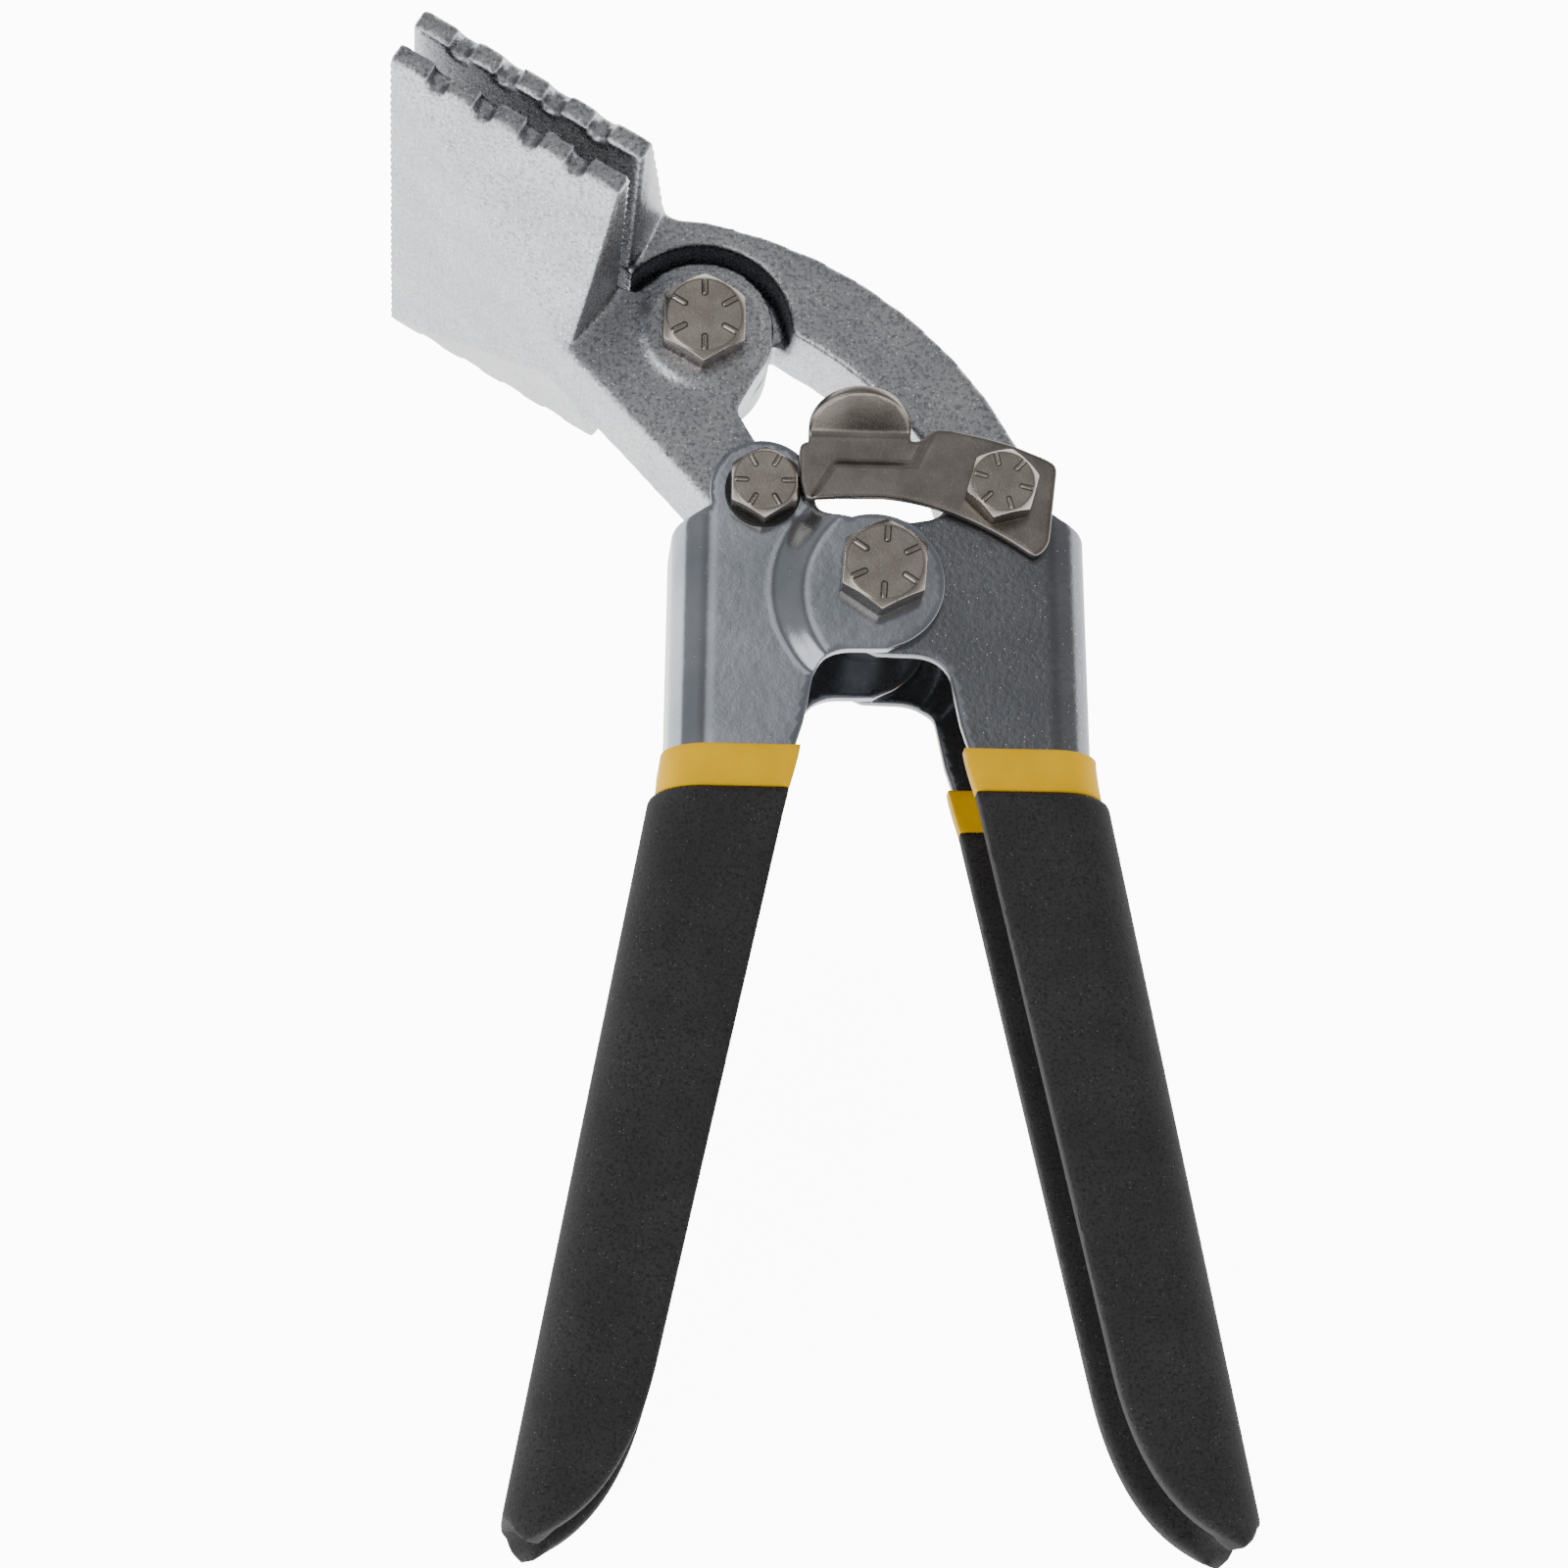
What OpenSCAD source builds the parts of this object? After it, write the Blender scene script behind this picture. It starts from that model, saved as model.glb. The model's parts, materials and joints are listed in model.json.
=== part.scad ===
// Hand seamer for sheet metal: two wide jaws set across the tool, closed by
// two folded sheet handles through a four-bar linkage, and held by a latch.
// The tool frame has its origin on the handle pivot, X to the right, Y towards
// the jaws and W along the bolts. The whole tool is then laid on its rest points.

/* [Jaws] */
// Width of each jaw across the tool
jaw_width = 82.55; // [74:0.05:90]
// Depth of each jaw from its tip to its throat
jaw_depth = 31.75; // [28:0.05:34]
// Gap between the closed jaws
jaw_gap = 2.3; // [1.8:0.1:2.6]
// Thickness of each jaw at its side teeth
jaw_edge_thick = 2.8; // [2.2:0.1:3.4]
// Height of each jaw's root above its outer edge face
root_rise = 7.0; // [5:0.1:8]
// Distance between the depth notches
notch_pitch = 6.35; // [6:0.05:6.6]
// Width of one depth notch
notch_width = 2.4; // [1.6:0.1:3]
// Depth of one depth notch
notch_deep = 2.0; // [1.2:0.1:2.6]

/* [Arms] */
// Thickness of the jaw arms along the bolts
arm_thick = 14.4; // [13:0.1:14.8]
// Radius of the boss at the jaw pivot
boss_radius = 8.9; // [8.2:0.1:9.4]
// Radius of the arm ends at the link bolts
link_end_radius = 6.2; // [5.6:0.1:6.4]

/* [Handles] */
// Width of the folded channel along the bolts
channel_width = 20; // [19.4:0.1:21]
// Thickness of the handle sheet
sheet_thick = 1.6; // [1.2:0.1:1.8]
// Outer radius of the fold
fold_radius = 5; // [4:0.1:6]
// Radius of the lug discs at the handle pivot
lug_radius = 8.5; // [8.2:0.05:9]
// Radius of the ear over each link bolt
ear_radius = 6.5; // [6:0.1:6.8]
// Outward splay of the handles below the bend
handle_splay = 10.65; // [9:0.05:12]

/* [Grips] */
// Thickness of the grip outside the sheet
grip_outside = 1.4; // [1:0.1:2]
// Thickness of the grip inside the channel
grip_inside = 1.0; // [0.6:0.1:1.4]
// Length of the coloured collar
collar_length = 5.4; // [4:0.1:7]

/* [Latch] */
// Thickness of the latch plate
latch_thick = 1.45; // [1.2:0.05:1.6]
// Radius of the thumb tab
tab_radius = 6.2; // [5:0.1:7]
// Angle the thumb tab is bent up from the plate
tab_bend = 58; // [40:1:75]

/* [Bolts] */
// Width across flats of the two large hex heads
large_head_af = 10; // [9:0.1:10.5]
// Width across flats of the two small hex heads
small_head_af = 8; // [7:0.1:8]
// Shank diameter of the large bolts
large_shank = 6; // [5:0.1:6]
// Shank diameter of the small bolts
small_shank = 5; // [4:0.1:5]

/* [Hidden] */
$fn = 64;
jaw_turn = 31;
jaw_tip = -78.75;
jaw_throat = jaw_tip + jaw_depth;
jaw_mid = 17.25;
front_inner = jaw_mid - jaw_gap / 2;
rear_inner = jaw_mid + jaw_gap / 2;
arm_half = arm_thick / 2;
root_half = 7.2;
wall_out = channel_width / 2;
wall_in = wall_out - sheet_thick;
lug_gap = 0.2;
lug_in = wall_out + lug_gap;
lug_out = lug_in + sheet_thick;
joggle_outer = 15.0;
joggle_inner = 11.6;
joggle_centre = [1.5, -1.9];
running = 0.04;
open_pivot_gap = 0.5;
lap_gap = 0.15;
jaw_pin = [-21.7, 32.6];
lug_centre = [-0.8, -1.1];
left_pin = [-14.4, 10.7];
right_pin = [14.4, 10.7];
bend_y = -23.5;
bend_x = -25.75;
head_splay = 1.0;
draw_step = 0.05;
grip_top = -27.0;
latch_low = wall_out + 0.5;
latch_high = latch_low + latch_thick;
boss_top = arm_half + 0.8;
jaw_low_y = -jaw_throat * sin(jaw_turn) + (front_inner - jaw_edge_thick) * cos(jaw_turn);
grip_low_y = -115.4;
grip_half = wall_out + draw_step + grip_outside;
rest_tilt = atan((jaw_width / 2 - grip_half) / (jaw_low_y - grip_low_y));
jaw_top_y = -jaw_tip * sin(jaw_turn) + (rear_inner + jaw_edge_thick) * cos(jaw_turn);
rest_z = jaw_width / 2 * cos(rest_tilt) - jaw_low_y * sin(rest_tilt);
rest_y = 25.53;
rest_x = 8.098;

// ---- helpers -------------------------------------------------------------

// Lay the tool down on its far jaw corner and the backs of its grips.
module lay() {
    translate([rest_x, rest_y, rest_z])
        rotate([rest_tilt, 0, 0])
            children();
}

// A slab between two heights along the bolts.
module slab(low, high) {
    translate([0, 0, low])
        linear_extrude(high - low)
            children();
}

// A round hole or post about one pivot.
module post(pin, radius, low, high) {
    translate([pin[0], pin[1], low])
        cylinder(r = radius, h = high - low);
}

// One quarter of a smooth curve between two points, pulled towards a third.
function curve(a, b, c, steps) = [
    for (i = [0 : steps])
        let (t = i / steps)
            (1 - t) * (1 - t) * a + 2 * t * (1 - t) * b + t * t * c
];

// Outline of a channel's cross-section: X runs into the channel.
module fold_outline(half, radius, start, depth) {
    translate([start + radius, -half])
        square([depth, 2 * half]);
    translate([start, -half + radius])
        square([radius + 1, 2 * (half - radius)]);
    for (side = [-1, 1])
        translate([start + radius, side * (half - radius)])
            circle(r = radius);
}

// Channel section from an outer half width, outer radius and wall thickness.
module fold_section(half, radius, start, thick) {
    difference() {
        fold_outline(half, radius, start, 30);
        fold_outline(half - thick, radius - thick, start + thick, 40);
    }
}

// A straight run of channel down the handle from a point, at an angle.
module channel_run(half, radius, start, thick, angle, length) {
    translate([bend_x, bend_y, 0])
        rotate([0, 0, -angle])
            translate([0, length / 2, 0])
                rotate([90, 0, 0])
                    linear_extrude(length)
                        fold_section(half, radius, start, thick);
}

// Hex head with a rounded-off top, flats at a given turn.
module hex_head(pin, across, low, high, turn) {
    corner = across / 2 / cos(30);
    intersection() {
        translate([pin[0], pin[1], low])
            rotate([0, 0, turn])
                cylinder(r = corner, h = high - low, $fn = 6);
        translate([pin[0], pin[1], low])
            union() {
                cylinder(r = corner + 0.1, h = high - low - 0.9);
                translate([0, 0, high - low - 0.9])
                    cylinder(r1 = corner + 0.1, r2 = across / 2 * 0.93, h = 0.9);
            }
    }
}

// Bolt: head, and a shank down through the stack.
module bolt(pin, across, shank, seat, head, tail, turn) {
    hex_head(pin, across, seat, seat + head, turn);
    post(pin, shank / 2, tail, seat + 0.2);
}

// Lock nut on the rear face, with a collar for its insert.
module lock_nut(pin, across, shank, seat, tall, turn) {
    difference() {
        union() {
            translate([pin[0], pin[1], seat - tall * 0.72])
                rotate([0, 0, turn])
                    cylinder(r = across / 2 / cos(30), h = tall * 0.72, $fn = 6);
            post(pin, across / 2 * 0.94, seat - tall, seat - tall * 0.7);
        }
        post(pin, shank / 2 + running, seat - tall - 1, seat + 1);
        post(pin, shank / 2 + 1.0, seat - tall + 0.3, seat - tall * 0.72);
    }
}

// Ring of locking plastic inside a nut's collar.
module lock_ring(pin, shank, seat, tall) {
    difference() {
        post(pin, shank / 2 + 0.96, seat - tall + 0.34, seat - tall * 0.74);
        post(pin, shank / 2 + running, seat - tall, seat);
    }
}

// ---- jaws ----------------------------------------------------------------

// Wedge-backed jaw: a full-width plate running up to a root at the arm.
module jaw_blade(inner, away) {
    edge = inner + away * jaw_edge_thick;
    root = edge + away * root_rise;
    rotate([0, 0, -jaw_turn])
        difference() {
            hull() {
                translate([jaw_tip, min(inner, edge), -jaw_width / 2])
                    cube([jaw_depth, jaw_edge_thick, jaw_width]);
                translate([jaw_throat - 3.0, min(edge, root), -root_half])
                    cube([2.2, root_rise, 2 * root_half]);
            }
            jaw_notches();
        }
}

// Depth notches along both side edges of a jaw.
module jaw_notches() {
    for (side = [-1, 1])
        for (i = [1 : 4]) {
            translate([jaw_tip + i * notch_pitch, 0, side * jaw_width / 2])
                translate([-notch_width / 2, 0, -notch_deep + notch_width / 2])
                    cube([notch_width, 40, 2 * notch_deep - notch_width]);
            translate([jaw_tip + i * notch_pitch, 0,
                side * (jaw_width / 2 - notch_deep + notch_width / 2)])
                rotate([-90, 0, 0])
                    cylinder(r = notch_width / 2, h = 40);
        }
}

// Side view of the front jaw's arm.
module front_arm_outline() {
    polygon([[-40.2, 30.9], [-30.4, 20.3], [-18.9, 7.6], left_pin, [-10.3, 15.4],
        [-14.6, 17.4], [-17.4, 22.2], [-14.4, 27.6], jaw_pin, [-27.8, 38.9],
        [-29.9, 37.4], [-32.3, 38.0], [-35.8, 37.2]]);
    translate(left_pin)
        circle(r = link_end_radius);
}

// Side view of the rear jaw's arm.
module rear_arm_outline() {
    polygon(concat(
        [[-28.3, 48.8], [-24.9, 47.2]],
        [for (a = [79.5 : -7.5 : 27]) [-31 + 54.2 * cos(a), -6.4 + 54.2 * sin(a)]],
        [[20.3, 12.6], right_pin, [8.4, 12.4]],
        curve([7.6, 15.2], [1.6, 25.6], [-10.85, 32.5], 8),
        [[-13.6, 34.6], jaw_pin, [-30.1, 35.4], [-30.9, 40.2], [-33.5, 45.5]]));
    translate(right_pin)
        circle(r = link_end_radius);
}

module front_jaw() {
    color([0.62, 0.63, 0.65])
        lay()
            difference() {
                union() {
                    jaw_blade(front_inner, -1);
                    slab(-arm_half, arm_half)
                        front_arm_outline();
                    post(jaw_pin, boss_radius, lap_gap, arm_half);
                    post(jaw_pin, boss_radius - 1.5, arm_half - 1, boss_top);
                }
                post(jaw_pin, boss_radius + 0.8, -arm_half - 1, lap_gap);
                slab(-arm_half - 1, lap_gap)
                    polygon([[-31.6, 42], [-31.5, 34.6], jaw_pin, [-12, 22.5], [-4, 42]]);
                post(jaw_pin, large_shank / 2 + running, -20, 20);
                post(left_pin, small_shank / 2 + running, -20, 20);
            }
}

module rear_jaw() {
    color([0.6, 0.61, 0.63])
        lay()
            difference() {
                union() {
                    jaw_blade(rear_inner, 1);
                    slab(-arm_half, arm_half)
                        rear_arm_outline();
                    post(jaw_pin, boss_radius, -arm_half, -lap_gap);
                    post(jaw_pin, boss_radius - 1.5, -boss_top, -arm_half + 1);
                }
                post(jaw_pin, 11.1, -lap_gap, arm_half + 1);
                post(jaw_pin, large_shank / 2 + running, -20, 20);
                post(right_pin, small_shank / 2 + running, -20, 20);
            }
}

// ---- handles -------------------------------------------------------------

// Inner edge of the handle below the pivot, as far as its rounded tip.
grip_edge = concat([[-11.3, grip_top]],
    curve([-26.4, -95.5], [-30.2, -113.5], [-41.8, -116.9], 10));

// Side view of the folded sheet, with one ear and one lug.
module sheet_outline() {
    polygon(concat(
        [[-27, 6.2], [-23.9, 7.3], [-20.3, 9.1], left_pin, [-8.1, 9.6], [-6.6, 7.6],
            [0, 7.2], [2.2, -9.2], [0.8, -9.9], [-4.6, -9.9]],
        curve([-4.6, -9.9], [-8.0, -10.2], [-8.3, -14.6], 5),
        [[-9.5, -18.5], [-10.5, -21.6]],
        [for (p = grip_edge) p + [-1.2, 0.9]],
        [[-48, -114], [-30, -22]]));
    translate(left_pin)
        circle(r = ear_radius);
    translate(lug_centre)
        circle(r = lug_radius);
}

// Raised lug that laps over the other handle's flat lug.
module joggled_lug() {
    rim = joggle_outer + 0.4;
    translate(joggle_centre)
        rotate_extrude()
            polygon([[0, lug_in], [joggle_inner, lug_in], [joggle_outer, wall_in],
                [rim, wall_in], [rim, wall_out], [joggle_outer, wall_out],
                [joggle_inner, lug_out], [0, lug_out]]);
}

// Half of space above or below the mitre through the bend.
module mitre_side(up) {
    translate([bend_x, bend_y, -20])
        rotate([0, 0, -(head_splay + handle_splay) / 2])
            translate([-90, up ? 0 : -140, 0])
                cube([180, 140, 40]);
}

// Both straight runs of the channel, mitred at the bend. The lower run is a
// hair thicker all round, as the sheet is where it is drawn into the grip.
module channel_body(half, radius, start, thick) {
    intersection() {
        channel_run(half, radius, start, thick, head_splay, 70);
        mitre_side(true);
    }
    intersection() {
        channel_run(half + draw_step, radius + draw_step, start - draw_step,
            thick + 2 * draw_step, handle_splay, 240);
        mitre_side(false);
    }
}

// One folded handle: channel, ears, a flat rear lug and a raised front lug.
module folded_handle(front_bore, rear_bore) {
    difference() {
        union() {
            intersection() {
                channel_body(wall_out, fold_radius, 0, sheet_thick);
                slab(-20, 20)
                    sheet_outline();
                union() {
                    translate([-90, -130, -20])
                        cube([140, 160, wall_in + 20]);
                    slab(wall_in - 1, 20)
                        difference() {
                            translate([-90, -130])
                                square([140, 160]);
                            translate(joggle_centre)
                                circle(r = joggle_outer);
                        }
                }
            }
            intersection() {
                joggled_lug();
                slab(0, 20)
                    sheet_outline();
            }
        }
        post([0, 0], front_bore, 0, 20);
        post([0, 0], rear_bore, -20, 0);
        post(left_pin, small_shank / 2 + running, -20, 20);
    }
}

// Turn a left-hand piece over to make the right-hand one.
module turned_over() {
    rotate([0, 180, 0])
        children();
}

module left_handle() {
    pin_bore = large_shank / 2 + running;
    color([0.58, 0.6, 0.63])
        lay()
            folded_handle(pin_bore, pin_bore);
}

module right_handle() {
    wide_bore = large_shank / 2 + open_pivot_gap;
    color([0.5, 0.52, 0.55])
        lay()
            turned_over()
                folded_handle(wide_bore, wide_bore);
}

// ---- grips ---------------------------------------------------------------

// Soft sleeve round the sheet, between two heights down the handle.
module sleeve(outside, inside, top, bottom) {
    difference() {
        intersection() {
            channel_body(wall_out + outside, fold_radius + outside, -outside,
                sheet_thick + outside + inside);
            slab(-20, 20)
                polygon(concat([[-50, top], [-50, bottom]],
                    bottom < -60 ? [[-48, -113.4]] : [],
                    bottom < -60 ? [for (i = [len(grip_edge) - 1 : -1 : 1]) grip_edge[i]] : [],
                    bottom < -60 ? [[-11.3, top]]
                        : [[-11.25, bottom], [-9.85, top]]));
        }
        intersection() {
            channel_body(wall_out + 0.02, fold_radius + 0.02, -0.02, sheet_thick + 0.04);
            slab(-20, 20)
                offset_sheet();
        }
    }
}

// Side view of the space the sheet takes inside its grip.
module offset_sheet() {
    polygon(concat(
        [[-60, 0], [-9, 0], [-9.44, -18.5], [-10.44, -21.6]],
        [for (p = grip_edge) p + [-1.16, 0.86]],
        [[-60, -113.6]]));
}

module grip_shape() {
    sleeve(grip_outside, grip_inside, grip_top, -113.4);
}

module collar_shape() {
    sleeve(0.7, 0.6, grip_top + collar_length + 0.05, grip_top + 0.05);
}

module left_grip() {
    color([0.2, 0.2, 0.21])
        lay()
            grip_shape();
}

module right_grip() {
    color([0.2, 0.2, 0.21])
        lay()
            turned_over()
                grip_shape();
}

module left_collar() {
    color([0.82, 0.68, 0.15])
        lay()
            collar_shape();
}

module right_collar() {
    color([0.82, 0.68, 0.15])
        lay()
            turned_over()
                collar_shape();
}

// ---- latch ---------------------------------------------------------------

module latch_outline() {
    polygon(concat(
        [[-10.0, 15.6], [-10.1, 14.2], [-9.95, 11.1], [-9.4, 9.8], [-8.2, 9.3], [-5.4, 9.5]],
        curve([-1.5, 9.6], [5.5, 9.5], [9.6, 7.4], 5),
        [[18.0, 2.5], [18.7, 2.3], [19.3, 2.8], [20.4, 5.3], [21.3, 13.6], [20.9, 14.5], [16.1, 16.6],
            [8.5, 18.4], [6.4, 18.4], [5.0, 17.4], [3.6, 17.4], [-9.0, 17.0], [-9.7, 16.7]]));
}

module latch() {
    color([0.36, 0.33, 0.3])
        lay()
            difference() {
                union() {
                    slab(latch_low, latch_high)
                        latch_outline();
                    translate([-2.7, 16.9, latch_high - latch_thick * 0.95])
                        rotate([tab_bend, 0, 0])
                            intersection() {
                                cylinder(r = tab_radius, h = latch_thick * 0.95);
                                translate([-10, 0, -1])
                                    cube([20, 10, 4]);
                            }
                }
                post(right_pin, small_shank / 2 + running, 0, 20);
            }
}

// ---- bolts, nuts and washers ---------------------------------------------

module jaw_pivot_bolt() {
    color([0.46, 0.43, 0.4])
        lay()
            bolt(jaw_pin, large_head_af, large_shank, boss_top + 0.03, 4, -13.6, 90);
}

module jaw_pivot_nut() {
    color([0.46, 0.43, 0.4])
        lay()
            lock_nut(jaw_pin, large_head_af, large_shank, -boss_top - 0.15, 5, 80);
}

module jaw_pivot_insert() {
    color([0.85, 0.85, 0.8])
        lay()
            lock_ring(jaw_pin, large_shank, -boss_top - 0.15, 5);
}

module handle_pivot_bolt() {
    color([0.46, 0.43, 0.4])
        lay()
            bolt([0, 0], large_head_af, large_shank, lug_out + 0.03, 4, -17.4, 86);
}

module handle_pivot_nut() {
    color([0.46, 0.43, 0.4])
        lay()
            lock_nut([0, 0], large_head_af, large_shank, -lug_out - 0.15, 5, 70);
}

module handle_pivot_insert() {
    color([0.85, 0.85, 0.8])
        lay()
            lock_ring([0, 0], large_shank, -lug_out - 0.15, 5);
}

module handle_pivot_sleeve() {
    color([0.55, 0.56, 0.58])
        lay()
            difference() {
                post([0, 0], 5.2, -wall_in + 0.04, wall_in - 0.25);
                post([0, 0], large_shank / 2 + running, -20, 20);
            }
}

module left_link_bolt() {
    color([0.46, 0.43, 0.4])
        lay()
            bolt(left_pin, small_head_af, small_shank, wall_out + 0.42, 3.5, -15.2, 90);
}

module left_link_nut() {
    color([0.46, 0.43, 0.4])
        lay()
            lock_nut(left_pin, small_head_af, small_shank, -wall_out - 0.2, 4.6, 84);
}

module left_link_insert() {
    color([0.85, 0.85, 0.8])
        lay()
            lock_ring(left_pin, small_shank, -wall_out - 0.2, 4.6);
}

module left_link_washer() {
    color([0.12, 0.12, 0.12])
        lay()
            difference() {
                post(left_pin, 4.65, wall_out + 0.1, wall_out + 0.38);
                post(left_pin, small_shank / 2 + running, 0, 20);
            }
}

// Two thin rings filling the space between an arm end and the handle walls.
module shims(pin) {
    for (side = [-1, 1])
        difference() {
            post(pin, 4.9, side > 0 ? arm_half + 0.04 : -wall_in + 0.2,
                side > 0 ? wall_in - 0.2 : -arm_half - 0.04);
            post(pin, small_shank / 2 + running, -20, 20);
        }
}

module left_link_shims() {
    color([0.5, 0.5, 0.52])
        lay()
            shims(left_pin);
}

module right_link_bolt() {
    color([0.46, 0.43, 0.4])
        lay()
            bolt(right_pin, small_head_af, small_shank, latch_high + 0.15, 3.5, -15.2, 75);
}

module right_link_nut() {
    color([0.46, 0.43, 0.4])
        lay()
            lock_nut(right_pin, small_head_af, small_shank, -wall_out - 0.2, 4.6, 65);
}

module right_link_insert() {
    color([0.85, 0.85, 0.8])
        lay()
            lock_ring(right_pin, small_shank, -wall_out - 0.2, 4.6);
}

module right_link_shims() {
    color([0.5, 0.5, 0.52])
        lay()
            shims(right_pin);
}

front_jaw();
rear_jaw();
left_handle();
right_handle();
left_collar();
right_collar();
left_grip();
right_grip();
latch();
jaw_pivot_bolt();
jaw_pivot_nut();
jaw_pivot_insert();
handle_pivot_bolt();
handle_pivot_nut();
handle_pivot_insert();
handle_pivot_sleeve();
left_link_bolt();
left_link_nut();
left_link_insert();
left_link_washer();
left_link_shims();
right_link_bolt();
right_link_nut();
right_link_insert();
right_link_shims();
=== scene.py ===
"""Looks of a sheet-metal hand seamer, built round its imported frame.

Everything is worked out in the tool's own frame, in millimetres: the origin is
on the handle pivot, X runs to the right, Y towards the jaws and W along the
bolts. ToolFrame turns that into the row frame, in metres.
"""

import json
import math
from dataclasses import dataclass, field
from enum import Enum

import bpy
import numpy as np
from mathutils import Matrix, Vector, geometry

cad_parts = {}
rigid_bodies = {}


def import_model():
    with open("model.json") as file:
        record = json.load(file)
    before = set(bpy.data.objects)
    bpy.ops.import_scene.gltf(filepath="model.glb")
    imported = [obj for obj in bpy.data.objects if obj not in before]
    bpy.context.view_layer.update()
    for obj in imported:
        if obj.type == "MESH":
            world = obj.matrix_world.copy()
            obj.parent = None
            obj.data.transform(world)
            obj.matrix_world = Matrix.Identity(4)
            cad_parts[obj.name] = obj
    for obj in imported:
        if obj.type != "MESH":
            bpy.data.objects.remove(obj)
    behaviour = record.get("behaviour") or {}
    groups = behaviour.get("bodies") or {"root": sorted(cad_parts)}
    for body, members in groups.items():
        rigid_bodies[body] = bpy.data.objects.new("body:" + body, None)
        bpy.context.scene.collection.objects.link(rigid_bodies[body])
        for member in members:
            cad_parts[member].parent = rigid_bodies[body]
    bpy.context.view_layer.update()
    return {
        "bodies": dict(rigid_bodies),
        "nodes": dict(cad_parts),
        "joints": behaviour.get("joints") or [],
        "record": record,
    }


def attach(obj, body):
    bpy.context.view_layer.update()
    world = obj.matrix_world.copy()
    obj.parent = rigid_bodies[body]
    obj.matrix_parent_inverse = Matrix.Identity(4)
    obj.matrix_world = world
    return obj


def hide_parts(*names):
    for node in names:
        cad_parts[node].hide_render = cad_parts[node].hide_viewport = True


MM = 0.001
LEFT_PIN = np.array([-14.4, 10.7])
RIGHT_PIN = np.array([14.4, 10.7])
JAW_PIN = np.array([-21.7, 32.6])
WALL_OUT = 10.0  # half the folded channel's outside width
WELD_GAP = 0.002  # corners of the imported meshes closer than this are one
M6 = {"across": 10.0, "shank": 6.0, "head": 4.0}  # a hex bolt: flats, shank, head height
M5 = {"across": 8.0, "shank": 5.0, "head": 3.5}
RIM_SHARES = (0.12, 0.42, 1.0)  # where the rings of a rounded rim lie, as parts of its radius


class Side(Enum):
    """Which handle a folded piece belongs to; the right one is turned over."""

    LEFT = 1
    RIGHT = -1


class ToolFrame:
    """The tool's own frame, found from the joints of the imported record."""

    def __init__(self, frame: dict) -> None:
        """Read the pivots and their shared axis.
        """
        joints = {j["name"]: j for j in frame["joints"]}
        left = Vector(joints["left_handle_swing"]["pos_m"])
        right = Vector(joints["right_handle_swing"]["pos_m"])
        self.along_w = -Vector(joints["jaw_open"]["axis"]).normalized()
        self.along_x = (right - left).normalized()
        self.along_y = self.along_w.cross(self.along_x)
        self.origin = (left + right) / 2 - self.along_y * (LEFT_PIN[1] * MM)
        self.basis = np.array([self.along_x, self.along_y, self.along_w])

    def rows(self, points: np.ndarray) -> np.ndarray:
        """Points of the tool frame, in the row frame.

        Args:
            points: an N by 3 array of millimetres.

        Returns:
            An N by 3 array of metres.
        """
        return points * MM @ self.basis + np.array(self.origin)


# ---- surfaces --------------------------------------------------------------


def smooth(t: np.ndarray) -> np.ndarray:
    """Ease from 0 to 1: 3t^2 - 2t^3, held flat outside.

    Args:
        t: any array.

    Returns:
        The eased array.
    """
    t = np.clip(t, 0.0, 1.0)
    return t * t * (3.0 - 2.0 * t)


def arc(centre: np.ndarray, radius: float, start: float, end: float, count: int) -> np.ndarray:
    """Points of a circular arc.

    Args:
        centre: its centre.
        radius: its radius.
        start: first angle, in degrees.
        end: last angle, in degrees.
        count: how many points.

    Returns:
        A count by 2 array.
    """
    a = np.radians(np.linspace(start, end, count))
    return np.asarray(centre) + radius * np.column_stack([np.cos(a), np.sin(a)])


def bow(a: tuple, b: tuple, c: tuple, count: int) -> np.ndarray:
    """A smooth curve from a to c, pulled towards b.

    Args:
        a: first point.
        b: the point that pulls.
        c: last point.
        count: how many points.

    Returns:
        A count by 2 array.
    """
    t = np.linspace(0.0, 1.0, count)[:, None]
    return (1 - t) ** 2 * np.array(a) + 2 * t * (1 - t) * np.array(b) + t**2 * np.array(c)


def inside(points: np.ndarray, loop: np.ndarray) -> np.ndarray:
    """Which points lie in a closed outline, by the even-odd rule.

    Args:
        points: N by 2.
        loop: M by 2, without its first point repeated.

    Returns:
        N booleans.
    """
    x, y = points[:, 0:1], points[:, 1:2]
    ax, ay = loop[:, 0], loop[:, 1]
    bx, by = np.roll(ax, -1), np.roll(ay, -1)
    spans = (ay > y) != (by > y)
    rise = np.where(by == ay, 1e-12, by - ay)
    return (spans & (x < (bx - ax) * (y - ay) / rise + ax)).sum(axis=1) % 2 == 1


def edge_distance(points: np.ndarray, loop: np.ndarray) -> np.ndarray:
    """Distance from each point to the nearest edge of an outline.

    Args:
        points: N by 2.
        loop: M by 2.

    Returns:
        N distances.
    """
    a, d = loop, np.roll(loop, -1, axis=0) - loop
    rel = points[:, None, :] - a[None]
    t = np.clip((rel * d).sum(-1) / np.maximum((d * d).sum(-1), 1e-12), 0, 1)
    return np.sqrt(((rel - t[..., None] * d) ** 2).sum(-1)).min(axis=1)


def resample(loop: np.ndarray, step: float) -> np.ndarray:
    """Split an outline's edges so that none is longer than a step.

    Args:
        loop: M by 2, closed without its first point repeated.
        step: the longest edge wanted.

    Returns:
        The finer outline.
    """
    pieces = []
    for a, b in zip(loop, np.roll(loop, -1, axis=0)):
        count = max(1, int(math.ceil(float(np.hypot(*(b - a))) / step)))
        pieces.append(a + (b - a) * np.linspace(0, 1, count, endpoint=False)[:, None])
    return np.concatenate(pieces)


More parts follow.
